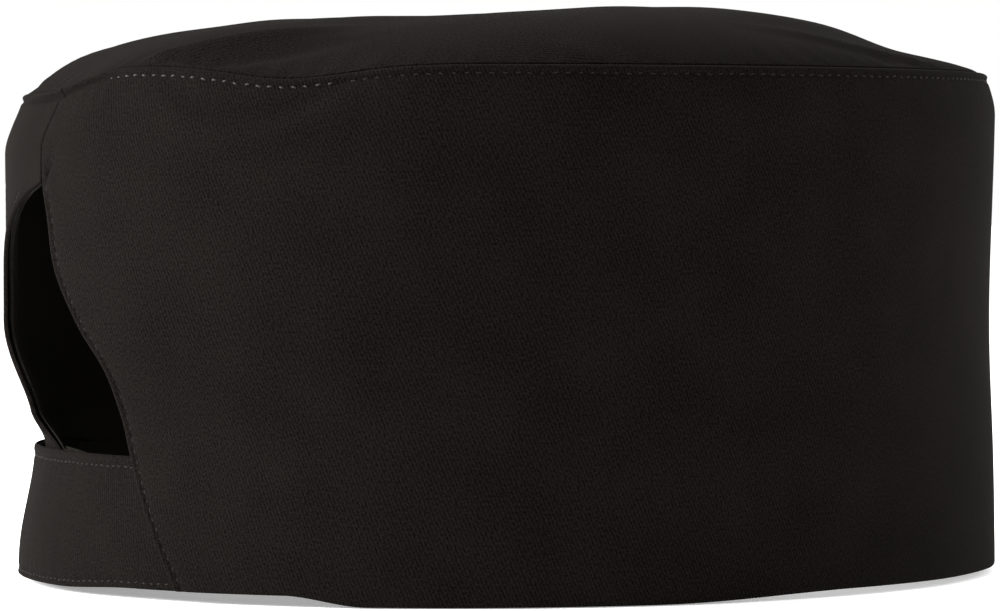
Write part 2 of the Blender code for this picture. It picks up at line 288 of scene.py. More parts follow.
def makeStrands(name, paths, radii, upright, finish, sides=8, flatness=1.0):
    # many short threads: paths is (thread, point, xyz), radii runs along each, upright is square to them
    count, length = paths.shape[:2]
    tangent = np.gradient(paths, axis=1)
    tangent /= np.linalg.norm(tangent, axis=-1, keepdims=True)
    side = np.cross(tangent, np.broadcast_to(upright, tangent.shape))
    side /= np.linalg.norm(side, axis=-1, keepdims=True)
    lift = np.cross(side, tangent)
    turn = np.linspace(0, 2 * pi, sides, endpoint=False)
    radius = np.broadcast_to(radii, (count, length))[..., None, None]
    points = paths[:, :, None] + radius * (
        side[:, :, None] * np.cos(turn)[:, None] + lift[:, :, None] * np.sin(turn)[:, None] * flatness)
    grid = np.arange(count * length * sides).reshape(count, length, sides)
    nextSide = np.roll(grid, -1, axis=2)
    tube = np.stack((grid[:, :-1], nextSide[:, :-1], nextSide[:, 1:], grid[:, 1:]), -1).reshape(-1, 4)
    faces = tube.tolist() + grid[:, 0, ::-1].tolist() + grid[:, -1].tolist()
    mesh = bpy.data.meshes.new(name)
    mesh.from_pydata(points.reshape(-1, 3).tolist(), [], faces)
    mesh.shade_smooth()
    mesh.materials.append(finish)
    piece = bpy.data.objects.new(name, mesh)
    bpy.context.scene.collection.objects.link(piece)
    return piece


def stitchRow(name, surface, pathArc, pathHeight, finish, pitch=2.25 * mm, length=1.35 * mm, width=0.42 * mm,
              lift=0.12 * mm, seed=1):
    # lockstitches along a path on a surface; each one dives into the cloth at its ends
    points = surface(pathArc, pathHeight, 0 * pathArc)
    run = np.concatenate(([0], np.cumsum(np.linalg.norm(np.diff(points, axis=0), axis=-1))))
    count = int(run[-1] // pitch)
    dice = np.random.default_rng(seed)
    middle = (np.arange(count) + 0.5) * run[-1] / count + dice.uniform(-0.06, 0.06, count) * pitch
    reach = np.linspace(-0.5, 0.5, 7)
    long = length * dice.uniform(0.7, 1.2, count)
    at = middle[:, None] + reach * long[:, None]
    sway = dice.uniform(-0.14, 0.14, count)[:, None] * mm * (reach * 2 + 0.5)
    arc = np.interp(at, run, pathArc)
    height = np.interp(at, run, pathHeight) + sway
    arch = lift - (0.5 * width + 0.5 * lift) * (2 * np.abs(reach)) ** 3
    paths = surface(arc, height, -(arch + dice.uniform(-0.03, 0.03, count)[:, None] * mm))
    upright = squareTo(lambda a, h: surface(a, h, 0 * a), arc, height)
    radii = width / 2 * np.sqrt(1 - (2 * np.abs(reach) * 0.94) ** 2.4)
    return makeStrands(name, paths, radii, upright, finish, flatness=0.8)


# materials
def fromHex(text):
    # sRGB hex to the linear colour that a shader takes
    values = [int(text[i:i + 2], 16) / 255 for i in (1, 3, 5)]
    return (*[v / 12.92 if v <= 0.04045 else ((v + 0.055) / 1.055) ** 2.4 for v in values], 1)


def addNode(tree, kind, options={}, values={}, links={}):
    node = tree.nodes.new(kind)
    for name, value in options.items():
        setattr(node, name, value)
    for name, value in values.items():
        node.inputs[name].default_value = value
    for name, socket in links.items():
        tree.links.new(socket, node.inputs[name])
    return node


def startMaterial(name, **values):
    material = bpy.data.materials.new(name)
    material.use_nodes = True
    tree = material.node_tree
    shader = tree.nodes["Principled BSDF"]
    for key, value in values.items():
        shader.inputs[key].default_value = value
    return material, tree, shader


def colourAndRelief(tree, shader, look, tone, height, deep):
    # the tone picks between the finish's two colours, and the height raises its surface
    colour = addNode(tree, "ShaderNodeMix", {"data_type": "RGBA"},
                     {6: fromHex(look["dark"]), 7: fromHex(look["light"])}, {0: tone})
    tree.links.new(colour.outputs[2], shader.inputs["Base Color"])
    relief = addNode(tree, "ShaderNodeBump", values={"Strength": look["relief"], "Distance": deep},
                     links={"Height": height})
    tree.links.new(relief.outputs["Normal"], shader.inputs["Normal"])


def clothPlace(tree, slant):
    # place on the flat cloth in millimetres, turned by the slant
    flat = addNode(tree, "ShaderNodeUVMap", {"uv_map": "cloth"})
    placed = addNode(tree, "ShaderNodeMapping", values={
        "Rotation": (0, 0, slant), "Scale": (1000, 1000, 1000)}, links={"Vector": flat.outputs["UV"]})
    return placed.outputs["Vector"]


waveTurn = 2 * pi / 20        # a Wave texture repeats once every 2 pi / 20 units at scale 1


def makeTwill(name, look):
    # 65/35 polyester-cotton twill, piece-dyed black and calendered: dull, with fine slanting wales and a
    # little bloom where the cloth turns away, because the fibre ends stand up from the yarns
    material, tree, shader = startMaterial(
        name, Roughness=look["roughness"], IOR=1.53, **{
            "Specular IOR Level": look["specular"], "Sheen Weight": look["sheen"],
            "Sheen Roughness": look["sheenRoughness"], "Sheen Tint": fromHex(look["bloom"])})
    turned, straight = clothPlace(tree, look["slant"]), clothPlace(tree, 0)
    wales = addNode(tree, "ShaderNodeTexWave", {"bands_direction": "X"}, {
        "Scale": waveTurn / look["waleSpacing"], "Distortion": 1.1, "Detail": 2.0, "Detail Scale": 1.3},
        {"Vector": turned})
    yarns = addNode(tree, "ShaderNodeTexWave", {"bands_direction": "Y"}, {
        "Scale": waveTurn / look["yarnSpacing"], "Distortion": 2.5, "Detail": 2.0, "Detail Scale": 2.0},
        {"Vector": turned})
    nap = addNode(tree, "ShaderNodeTexNoise", values={
        "Scale": 1 / look["napSize"], "Detail": 3.0, "Roughness": 0.6}, links={"Vector": straight})
    shade = addNode(tree, "ShaderNodeTexNoise", values={"Scale": 1 / look["shadeSize"], "Detail": 2.0},
                    links={"Vector": straight})
    ribs = addNode(tree, "ShaderNodeMath", {"operation": "MULTIPLY"}, {1: look["waleShare"]},
                   {0: wales.outputs["Fac"]})
    sums = [ribs]
    for pattern, share in ((yarns, "yarnShare"), (nap, "napShare"), (shade, "shadeShare")):
        sums.append(addNode(tree, "ShaderNodeMath", {"operation": "MULTIPLY_ADD"}, {1: look[share]},
                            {0: pattern.outputs["Fac"], 2: sums[-1].outputs["Value"]}))
    mixed, patched = sums[-2:]
    span = look["waleShare"] + look["yarnShare"] + look["napShare"] + look["shadeShare"]
    tone = addNode(tree, "ShaderNodeMapRange", values={"From Min": 0.36 * span, "From Max": 0.64 * span},
                   links={"Value": patched.outputs["Value"]})
    colourAndRelief(tree, shader, look, tone.outputs["Result"], mixed.outputs["Value"], 0.12 * mm)
    return material


# The wales lean 67 degrees from level, up towards the back. Sizes are in millimetres: real wales are about
# 0.5 apart and yarns 0.25 wide, too fine to show, so both are drawn coarser.
twillLook = dict(
    dark="#060505", light="#161311", bloom="#cfc6c0", roughness=0.9, specular=0.012, sheen=0.01,
    sheenRoughness=0.5, slant=radians(-23),
    waleSpacing=0.67, waleShare=0.26, yarnSpacing=0.36, yarnShare=0.12,
    napSize=0.5, napShare=1.5, shadeSize=14, shadeShare=0.3, relief=0.8)
bandTwill = makeTwill("bandTwill", twillLook)
# the same cloth, cut with its wales another way for the crown, the strap and the softer inner side; the
# inner side is also painted lighter, a painted light for the light that reaches inside
crownTwill = makeTwill("crownTwill", {**twillLook, "slant": radians(20)})
strapTwill = makeTwill("strapTwill", {**twillLook, "slant": radians(-20)})
litLiningTwill = makeTwill("litLiningTwill", {
    **twillLook, "dark": "#0d0c0a", "light": "#1f1d19", "slant": radians(28)})


def makeThread(name, look):
    # core-spun polyester sewing thread: smoother than the cloth, so each stitch catches a small highlight
    material, tree, shader = startMaterial(
        name, Roughness=look["roughness"], IOR=1.54, **{"Specular IOR Level": look["specular"]})
    place = addNode(tree, "ShaderNodeTexCoord")
    ply = addNode(tree, "ShaderNodeTexNoise", values={"Scale": 1 / (look["plySize"] * mm), "Detail": 2.0},
                  links={"Vector": place.outputs["Object"]})
    colourAndRelief(tree, shader, look, ply.outputs["Fac"], ply.outputs["Fac"], 0.05 * mm)
    return material


# the plies of a 0.4 mm thread turn over about every half millimetre
threadLook = dict(plySize=0.5, relief=0.4)
blackThread = makeThread("blackThread", {
    **threadLook, "dark": "#12100f", "light": "#262220", "roughness": 0.6, "specular": 0.2})
shadedThread = makeThread("shadedThread", {          # the same thread painted darker, a painted shade for rows sunk in the cloth or turned from the light; pulled down between the yarns, it is also duller
    **threadLook, "dark": "#0d0c0b", "light": "#1b1917", "roughness": 0.7, "specular": 0.1})
tackThread = makeThread("tackThread", {          # packed satin stitches shade each other
    **threadLook, "dark": "#050505", "light": "#0d0c0b", "roughness": 0.8, "specular": 0.05})


def makeWoven(name, look):
    # plain weave: over-and-under yarns at right angles, drawn as two crossed sets of ribs (millimetres)
    material, tree, shader = startMaterial(
        name, Roughness=look["roughness"], IOR=1.53, **{
            "Specular IOR Level": look["specular"], "Sheen Weight": look["sheen"],
            "Sheen Roughness": 0.5, "Sheen Tint": fromHex("#d8d0c8")})
    straight = clothPlace(tree, 0)
    ribs = [addNode(tree, "ShaderNodeTexWave", {"bands_direction": way}, {
        "Scale": waveTurn / spacing, "Distortion": 0.8, "Detail": 1.0, "Detail Scale": 2.0},
        {"Vector": straight}) for way, spacing in (("X", look["warp"]), ("Y", look["weft"]))]
    crossed = addNode(tree, "ShaderNodeMath", {"operation": "MULTIPLY"}, {},
                      {0: ribs[0].outputs["Fac"], 1: ribs[1].outputs["Fac"]})
    fluff = addNode(tree, "ShaderNodeTexNoise", values={"Scale": 1 / look["fluffSize"], "Detail": 3.0},
                    links={"Vector": straight})
    mixed = addNode(tree, "ShaderNodeMath", {"operation": "MULTIPLY_ADD"}, {1: 0.6},
                    {0: fluff.outputs["Fac"], 2: crossed.outputs["Value"]})
    tone = addNode(tree, "ShaderNodeMapRange", values={"From Min": 0.2, "From Max": 1.2},
                   links={"Value": mixed.outputs["Value"]})
    colourAndRelief(tree, shader, look, tone.outputs["Result"], mixed.outputs["Value"], 0.15 * mm)
    return material


# resin-stiffened cotton canvas: flat and dull, with a tight even grid
stiffCanvas = makeWoven("stiffCanvas", dict(
    dark="#161514", light="#272422", warp=0.5, weft=0.5, fluffSize=0.6,
    roughness=0.9, specular=0.2, sheen=0.05, relief=0.6))
# plain-woven cotton tape: matt, with ribs across its width
cottonBinding = makeWoven("cottonBinding", dict(
    dark="#191716", light="#34302e", warp=0.9, weft=0.6, fluffSize=0.5,
    roughness=0.85, specular=0.2, sheen=0.1, relief=0.7))
# looped cotton towelling: soft and without gloss, a coarse ground under the pile
terryCotton = makeWoven("terryCotton", dict(
    dark="#141211", light="#2f2a28", warp=1.3, weft=1.1, fluffSize=0.35,
    roughness=0.95, specular=0.1, sheen=0.2, relief=1.0))
# moulded nylon hooks on a woven nylon tape: a slight gleam
hookNylon = makeWoven("hookNylon", dict(
    dark="#0a0a0b", light="#19191b", warp=0.8, weft=0.8, fluffSize=0.8,
    roughness=0.5, specular=0.4, sheen=0.0, relief=0.5))
# brushed nylon pile: dull, with a faint bloom
loopNylon = makeWoven("loopNylon", dict(
    dark="#090809", light="#191819", warp=0.8, weft=0.8, fluffSize=0.3,
    roughness=0.8, specular=0.3, sheen=0.25, relief=0.8))
# polyester satin weave: long floats give a silky gleam along the label
labelSatin = makeWoven("labelSatin", dict(
    dark="#cfcac2", light="#efece6", warp=0.35, weft=1.6, fluffSize=2.0,
    roughness=0.42, specular=0.5, sheen=0.1, relief=0.25))
print("materials made")

# outer band
band = dict(
    columns=500, crowding=0.45,
    crownRow=1.8 * mm,        # topstitching below the crown seam
    edgeRow=1.7 * mm,         # topstitching inside the gap's edges
    puff=0.22 * mm,           # cloth between a row and its edge
    groove=0.3 * mm,
    pucker=0.11 * mm,
    waviness=0.45 * mm,
)
folds = dict(
    crescent=1.15 * mm, swell=0.45 * mm, crescentArc=52 * mm,
    hollow=0.9 * mm, hollowArc=242 * mm,
    pinch=1.2 * mm, pinchArc=2.9 * mm, pinchHeight=79.4 * mm,
    roll=0.7 * mm,
)
strapRows = np.linspace(22.5 * mm, 32 * mm, 15)       # close rows where the wall dips behind the strap's top
edgeInsets = np.array((0, 0.1, 0.25, 0.45, 0.7, 1.0, 1.35, 1.7, 2.1, 2.7, 3.5)) * mm
topInsets = np.array((
    10, 8.4, 7, 5.8, 4.8, 4.0, 3.3, 2.8, 2.4, 2.05, 1.8, 1.5, 1.2, 0.95, 0.7, 0.5, 0.3, 0.15, 0)) * mm


def distances(arc, height):
    # distance in from the slanting edge (or centre back seam), and from the half-moon edge
    slope = 1 / np.hypot(1, opening["hemArc"] / opening["apex"])
    near = (arc - nearEdge(height)) * np.where(height < opening["apex"], slope, 1)
    step = 0.5 * mm
    lean = (farEdge(height + step) - farEdge(height - step)) / (2 * step)
    far = (girth + farEdge(height) - arc) / np.hypot(1, np.clip(lean, -2.5, 2.5))
    return near, far


def rowRelief(distance, row, run, seed):
    # a puffed edge, a groove at the stitches, and small puckers that die out inwards
    puff = band["puff"] * np.clip(1 - ((distance - row / 2) / (row / 2)) ** 2, 0, 1)
    groove = -band["groove"] * hill(distance, row, 0.5 * mm)
    inside = ease(distance, row - 0.4 * mm, row + 0.5 * mm)
    inside = inside * np.exp(-np.clip(distance - row, 0, 1) / (3.2 * mm))
    wander = cloud(run / (9 * mm), distance * 0 + 0.5, seed)
    ripple = np.sin(2 * pi * run / (4.6 * mm) + 3.5 * wander)
    ripple = ripple * (0.55 + 0.45 * cloud(run / (14 * mm), 0 * run, seed + 1))
    return puff + groove + band["pucker"] * ripple * inside


def softRelief(arc, height):
    # the broad shape that all the band's layers share
    arc = wrap(arc)
    near, far = arc % girth - nearEdge(height), girth + farEdge(height) - arc % girth
    calm = ease(wall["height"] - height, 0, 9 * mm) * ease(near, 0, 6 * mm) * ease(far, 0, 6 * mm)
    broad = cloud(arc / (42 * mm) + 13, height / (55 * mm), 5)
    broad = broad + 0.35 * cloud(arc / (17 * mm) + 30, height / (24 * mm), 6)
    relief = band["waviness"] * broad * calm
    # the cloth under the sagging part of the crown seam sinks in a crescent
    at = folds["crescentArc"]
    crescent = wall["height"] - 8 * mm + 6.5 * mm * np.clip(np.abs(arc - at) / (20 * mm), 0, 1.4) ** 2
    relief = relief - folds["crescent"] * hill(height, crescent, 2.3 * mm) * hill(arc, at, 15 * mm)
    relief = relief + folds["swell"] * hill(height, crescent - 5.5 * mm, 3 * mm) * hill(arc, at, 17 * mm)
    # the front left side is a little hollow at mid height
    return relief - folds["hollow"] * hill(height, 50 * mm, 26 * mm) * hill(arc, folds["hollowArc"], 32 * mm)


def bandRelief(arc, height):
    near, far = distances(arc, height)
    relief = softRelief(arc, height) + rowRelief(wall["height"] - height, band["crownRow"], arc, 11)
    edges = rowRelief(near, band["edgeRow"], height, 21) + rowRelief(far, band["edgeRow"], height, 31)
    relief = relief + edges * (1 - ease(height, opening["apex"] - 4 * mm, opening["apex"] + 2 * mm))
    # a pinch beside the point of the gap, where the tack pulls
    above = height - folds["pinchHeight"]
    pinch = hill(arc - folds["pinchArc"] - 0.8 * above, 0, 0.6 * mm)
    pinch = pinch * hill(height, folds["pinchHeight"], 2.2 * mm)
    # the crown rolls over its seam beside the centre back, which leaves a second crease below it
    beside = np.abs(wrap(arc))
    roll = hill(wall["height"] - height, 2.2 * mm - 0.05 * beside, 0.7 * mm)
    roll = roll * (1 - ease(beside, 16 * mm, 26 * mm))
    return relief - folds["pinch"] * pinch - folds["roll"] * roll


def turnIn(distance, radius, drop):
    # depth of a rounded edge, from its full drop at the edge to none at the radius
    u = np.clip(1 - distance / radius, 0, 0.995)
    return drop * (1 - np.sqrt(1 - u * u))


def bandSurface(arc, height, depth):
    near, far = distances(arc, height)
    turn = turnIn(wall["height"] - height, 1.3 * mm, 1.3 * mm) + turnIn(height, 0.8 * mm, 0.35 * mm)
    openness = 1 - 0.85 * ease(height, opening["apex"] - 1 * mm, opening["apex"] + 1 * mm)
    turn = turn + (turnIn(near, 0.6 * mm, 0.25 * mm) + turnIn(far, 0.8 * mm, 0.35 * mm)) * openness
    return onFace(wallFace, arc, height, depth + turn - bandRelief(arc, height))


def spreadColumns(start, end, insets, count, crowding):
    # column places from start to end for each row: fixed insets at both ends, crowded towards them between
    u = np.linspace(0, 1, count + 2)[1:-1]
    u = u - crowding * np.sin(2 * pi * u) / (2 * pi)
    start, end = start[:, None], end[:, None]
    inner = start + insets[-1] + (end - start - 2 * insets[-1]) * u
    return np.concatenate((start + insets, inner, end - insets[::-1]), axis=1)


def makeOuterBand():
    heights = np.concatenate((
        np.array((0, 0.1, 0.25, 0.45, 0.7, 1.0, 1.5, 2.2, 3.2)) * mm,
        np.linspace(4.6 * mm, 21 * mm, 8), strapRows,
        np.linspace(33.5 * mm, wall["height"] - 11.6 * mm, 33), wall["height"] - topInsets))
    arc = spreadColumns(nearEdge(heights), girth + farEdge(heights), edgeInsets, band["columns"],
                        band["crowding"])
    height = np.repeat(heights[:, None], arc.shape[1], axis=1)
    thick = layers["outer"][1]
    near, far = distances(arc, height)
    edge = np.minimum(np.minimum(near, far), np.minimum(height, wall["height"] - height))
    rounding = turnIn(edge, thick * 0.6, thick * 0.46)
    piece = makePanel("outerBand", bandSurface, arc, height, layers["outer"], rounding, bandTwill)
    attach(piece, "cap")
    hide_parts("side_band")


makeOuterBand()
print("outer band made")

# stiffener between the outer cloth and the lining
stiffener = dict(columns=260, rows=15, inset=2.2 * mm)


def innerWall(arc, height, depth):
    return onFace(wallFace, arc, height, depth + rootDip(wrap(arc), height) - softRelief(arc, height))


def makeStiffener():
    inset = stiffener["inset"]
    heights = np.concatenate((np.linspace(inset, 21 * mm, 6), strapRows,
                              np.linspace(34 * mm, opening["apex"] + 17 * mm, stiffener["rows"])))
    farInset = inset * (1 + 2.5 * hill(heights, 27 * mm, 5 * mm))     # the half-moon's foot is nearly level
    arc = spreadColumns(nearEdge(heights) + inset, girth + farEdge(heights) - farInset,
                        np.array((0, 0.3, 1)) * mm, stiffener["columns"], 0.4)
    height = np.repeat(heights[:, None], arc.shape[1], axis=1)
    piece = makePanel("bandStiffener", innerWall, arc, height, layers["stiffener"], 0, stiffCanvas)
    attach(piece, "cap")
    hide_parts("band_interlining")


makeStiffener()

# lining: its edges come out to meet the outer cloth's turned edges
lining = dict(columns=320, inset=0.3 * mm, meet=0.55 * mm)


def liningSurface(arc, height, depth):
    near, far = distances(arc, height)
    low = height - lining["inset"]
    strapRoom = ease(height, 26 * mm, 34 * mm)     # the strap's end needs the space at the slanting edge
    meet = (1 - ease(near, 0, 2 * mm)) * strapRoom + (1 - ease(far, 0, 2 * mm))
    meet = meet + (1 - ease(low, 0, 2 * mm)) * ease(near, 8 * mm, 16 * mm)
    soft = 0.25 * mm * cloud(arc / (23 * mm), height / (31 * mm), 41)
    soft = soft * ease(wall["height"] - height, 0, 20 * mm)
    return innerWall(arc, height, depth - lining["meet"] * np.clip(meet, 0, 1) + np.abs(soft))


def makeLining():
    inset = lining["inset"]
    heights = np.concatenate((
        inset + np.array((0, 0.15, 0.35, 0.7, 1.2, 2, 3)) * mm, np.linspace(5 * mm, 21 * mm, 7), strapRows,
        np.linspace(33.5 * mm, wall["height"] - 1 * mm, 32)))
    arc = spreadColumns(nearEdge(heights) + inset, girth + farEdge(heights) - inset,
                        edgeInsets[:-1], lining["columns"], 0.4)
    height = np.repeat(heights[:, None], arc.shape[1], axis=1)
    thick = layers["lining"][1]
    near, far = distances(arc, height)
    rounding = turnIn(np.minimum(np.minimum(near, far), height) - inset, thick * 0.6, thick * 0.46)
    # the lining takes the lighter copy of the twill, a painted light
    piece = makePanel("bandLining", liningSurface, arc, height, layers["lining"], rounding, litLiningTwill)
    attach(piece, "cap")
    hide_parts("band_lining")


makeLining()
print("stiffener and lining made")

# crown: a pillowed oval, fuller at the back than at the front, with a few creases at its seam
crown = dict(
    columns=420, rise=crownHigh.z - wall["height"],
    rimDepth=1.75 * mm,
    settleBack=-2.3 * mm, settleFront=0.8 * mm,
    # in millimetres: arc at the seam, arc at the inner end, reach of the inner end (a share), height, width
    creases=(
        (26, 62, 0.68, 1.5, 4.0), (38, 70, 0.80, -1.1, 5.0),
        (209, 160, 0.72, 0.6, 4.5), (196, 172, 0.80, -0.3, 5.0),
        (-34, -50, 0.80, 0.7, 4.0), (-78, -70, 0.84, 0.5, 3.5), (-128, -140, 0.82, 0.6, 4.0),
        (118, 112, 0.9, 0.35, 3.0), (-180, -172, 0.82, 0.6, 4.0), (262, 270, 0.85, 0.5, 4.0)),
)


def crownTop(arc, reach):
    angle = np.interp(wrap(arc), arcs, angles)
    rim = onFace(ovalFace, arc, wall["height"] + 0 * arc, crown["rimDepth"] + 0 * arc)
    front = ease(-np.cos(angle), -0.35, 0.9)
    back = 0.75 * reach ** 6 + 0.25 * reach ** 1.7
    fall = reach ** 3.1 + 0.13 * hill(reach, 0.83, 0.11) * (1 - reach ** 20)
    dome = crown["rise"] * (1 - (1 - front) * back - front * fall)
    x, y = rim[..., 0] * reach, rim[..., 1] * reach
    z = wall["height"] - (wall["height"] - seamHeight(arc)) * reach ** 4 + dome
    # it has settled behind and to the right
    forward = -0.5 * x - 0.866 * y
    settle = crown["settleBack"] * ease(forward, -95 * mm, -60 * mm) * (1 - ease(forward, -12 * mm, 28 * mm))
    settle = settle + crown["settleFront"] * hill(forward, 55 * mm, 22 * mm)
    z = z + settle * (1 - reach ** 6)
    z = z + 0.5 * mm * cloud(x / (34 * mm) + 7, y / (38 * mm) + 4, 51) * (1 - reach ** 6)
    z = z + 0.3 * mm * cloud(x / (13 * mm) + 7, y / (15 * mm) + 4, 52) * (1 - reach ** 8)
    for seamArc, innerArc, innerReach, tall, wide in crown["creases"]:
        share = np.clip((1 - reach) / (1 - innerReach), 0, 1)
        middle = seamArc + (innerArc - seamArc) * share
        side = (arc * 1000 - middle + girth * 500) % (girth * 1000) - girth * 500
        ridge = tall * mm * hill(side, 0, wide * (1 + 0.8 * share))
        z = z + ridge * (1 - ease(share, 0.45, 1)) * ease(1 - reach, 0, 0.025)
    inside = (1 - reach) * 90 * mm         # rough distance in from the seam
    gathers = np.sin(2 * pi * arc / (6.2 * mm) + 4 * cloud(arc / (17 * mm), 0 * arc, 53))
    z = z + 0.16 * mm * gathers * np.exp(-inside / (4 * mm)) * ease(inside, 0, 1.0 * mm)
    return np.stack((x, y, z), -1)


def makeCrown():
    arc = np.linspace(0, girth, crown["columns"], endpoint=False)
    u = arc / girth
    arc = girth * (u - 0.35 * np.sin(2 * pi * u) / (2 * pi))
    reaches = np.concatenate((
        np.array((1, 0.9985, 0.996, 0.992, 0.987, 0.98, 0.972, 0.962, 0.95, 0.936, 0.92)),
        np.linspace(0.902, 0.0, 42)))
    tops = [crownTop(arc, reach + 0 * arc) for reach in reaches]
    skirtDepth, thick = layers["crown"]
    skirt = []
    for drop, depth in ((7.5, skirtDepth), (5, skirtDepth), (3, skirtDepth), (1.8, skirtDepth - 0.1 * mm),
                        (1.0, skirtDepth - 0.3 * mm), (0.4, skirtDepth - 0.6 * mm)):
        sink = softRelief(arc, wall["height"] - drop * mm + 0 * arc)
        place = onFace(ovalFace, arc, wall["height"] + 0 * arc, depth - sink)
        place[..., 2] = seamHeight(arc) - drop * mm
        skirt.append(place)
    front = np.array(skirt + tops)
    # thickness goes square to the surface
    along = np.roll(front, -1, axis=1) - np.roll(front, 1, axis=1)
    up = np.gradient(front, axis=0)
    normal = np.cross(along, up)
    normal[-1] = (0, 0, 1)
    normal /= np.maximum(np.linalg.norm(normal, axis=-1, keepdims=True), 1e-12)
    back = front - normal * thick
    back[-1] = back[-1].mean(axis=0)
    flat = front[..., :2]
    flat = np.concatenate((flat, flat[:, :1]), axis=1)
    piece = makeCloth("crownPanel", front, back, flat, crownTwill, ring=True, pole=True)
    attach(piece, "cap")
    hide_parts("crown_panel")


makeCrown()
print("crown made")

# binding over the raw edges of the crown seam, inside
binding = dict(columns=260, width=8.5 * mm, below=10 * mm)


def bindingSurface(arc, height, depth):
    sink = softRelief(arc, wall["height"] - binding["below"] + height)
    place = onFace(ovalFace, arc, wall["height"] + 0 * arc, depth - sink)
    wobble = 0.18 * mm * cloud(arc / (11 * mm), height / (4 * mm), 61)
    place = place + squareTo(ovalFace, arc, wall["height"] + 0 * arc) * wobble[..., None]
    place[..., 2] = seamHeight(arc) - binding["below"] + height
    return place


def makeBinding():
    arc = np.linspace(0, girth, binding["columns"], endpoint=False)
    heights = np.array((0, 0.1, 0.3, 0.7, 1.5, 3, 4.5, 6, 7.2, 7.9, 8.25, 8.42, 8.5)) * mm
    arc, height = np.meshgrid(arc, heights)
    depth, thick = layers["binding"]
    rounding = turnIn(np.minimum(height, binding["width"] - height), 0.3 * mm, thick * 0.45)
    flat = np.stack((np.linspace(0, girth, binding["columns"] + 1) + 0 * heights[:, None],
                     heights[:, None] + np.zeros(binding["columns"] + 1)), -1)
    piece = makeCloth("seamBinding", bindingSurface(arc, height, depth + rounding),
                      bindingSurface(arc, height, depth + thick - rounding), flat, cottonBinding, ring=True)
    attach(piece, "cap")
    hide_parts("crown_seam_tape")
    line = np.linspace(2 * mm, girth - 2 * mm, 900)
    for number, at in enumerate((1.2, 7.3)):
        row = stitchRow(f"bindingStitches{number + 1}",
                        lambda a, h, d: bindingSurface(a, h, depth + thick - d), line,
                        np.full(900, at * mm), blackThread, lift=0.1 * mm, seed=60 + number)
        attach(row, "cap")


makeBinding()
print("binding made")

# towelling sweatband, forehead side
towelling = dict(halfArc=125 * mm, low=2 * mm, high=34 * mm, loopGap=1.9 * mm)


def towelSurface(arc, height, depth):
    fluff = 0.12 * mm * cloud(arc / (1.7 * mm), height / (1.5 * mm), 71)
    fluff = fluff + 0.18 * mm * cloud(arc / (12 * mm), height / (9 * mm), 72)
    return onFace(ovalFace, arc, height, depth + fluff)


def makeTowelling():
    low, high = towelling["low"], towelling["high"]
    insets = np.array((0, 0.15, 0.4, 0.8, 1.4)) * mm
    heights = np.concatenate((low + insets, np.linspace(low + 2.2 * mm, high - 2.2 * mm, 30),
                              high - insets[::-1]))
    start = np.full(len(heights), girth / 2 - towelling["halfArc"])
    first, last = start[0], start[0] + 2 * towelling["halfArc"]
    arc = spreadColumns(start, start + 2 * towelling["halfArc"], insets, 240, 0.0)
    height = np.repeat(heights[:, None], arc.shape[1], axis=1)
    depth, thick = layers["towelling"]
    edge = np.minimum(np.minimum(height - low, high - height), np.minimum(arc - first, last - arc))
    rounding = turnIn(edge, 0.9 * mm, thick * 0.46)
    piece = makePanel("sweatbandTowelling", towelSurface, arc, height, layers["towelling"], rounding,
                      terryCotton)
    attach(piece, "cap")
    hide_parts("sweatband")
    dice = np.random.default_rng(73)
    columns = np.arange(first + 3 * mm, last - 3 * mm, towelling["loopGap"])
    rows = np.arange(low + 2.6 * mm, high - 2.4 * mm, towelling["loopGap"] * 0.8)
    loopArc, loopHeight = [v.ravel() + dice.uniform(-0.5, 0.5, v.size) * mm
                           for v in np.meshgrid(columns, rows)]
    lean = dice.uniform(0, 2 * pi, loopArc.size)
    swing = np.linspace(0, pi, 6)
    size = 0.55 * mm * dice.uniform(0.8, 1.2, loopArc.size)[:, None]
    a = loopArc[:, None] + size * np.cos(swing) * np.cos(lean)[:, None]
    h = loopHeight[:, None] + size * np.cos(swing) * np.sin(lean)[:, None]
    paths = towelSurface(a, h, depth + thick + size * (np.sin(swing) * 0.75 - 0.1))
    upright = np.stack((-np.sin(lean), np.cos(lean), 0.3 + 0 * lean), -1)[:, None]
    loops = makeStrands("towellingLoops", paths, 0.16 * mm, upright, terryCotton, sides=4)
    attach(loops, "cap")
    fringe = 1.6 * mm
    line = np.linspace(first + fringe, last - fringe, 400)
    for number, at in enumerate((low + fringe, high - fringe)):
        row = stitchRow(f"sweatbandStitches{number + 1}",
                        lambda a, h, d: towelSurface(a, h, depth + thick - d), line, np.full(400, at),
                        blackThread, pitch=2.8 * mm, length=1.8 * mm, lift=0.2 * mm, seed=74 + number)
        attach(row, "cap")


makeTowelling()
print("sweatband made")

# strap: two cloths turned in and topstitched all round, sewn under the slanting edge
strap = dict(
    corner=6 * mm, topRow=2.0 * mm, bottomRow=1.15 * mm, tipRow=2.0 * mm,
    puff=0.16 * mm, groove=0.22 * mm, bendLength=5 * mm,
)
strapInsets = np.array((0, 0.1, 0.25, 0.45, 0.7, 1.0, 1.35, 1.75, 2.2, 2.8)) * mm


def strapRelief(arc, height, edgeOf):
    relief = 0
    for distance, row, seed in ((strapTop - height, strap["topRow"], 81),
                                (height - strapBottom, strap["bottomRow"], 83)):
        puff = strap["puff"] * np.clip(1 - ((distance - row / 2) / (row / 2)) ** 2, 0, 1)
        ripple = np.sin(2 * pi * arc / (4.1 * mm) + 3 * cloud(arc / (8 * mm), 0 * arc, seed))
        fade = ease(distance, row, row + 0.6 * mm) * np.exp(-np.clip(distance - row, 0, 1) / (2.5 * mm))
        relief = relief + puff - strap["groove"] * hill(distance, row, 0.45 * mm) + 0.07 * mm * ripple * fade
    return relief + 0.22 * mm * cloud(arc / (15 * mm), height / (11 * mm) + 2, 85) * edgeOf


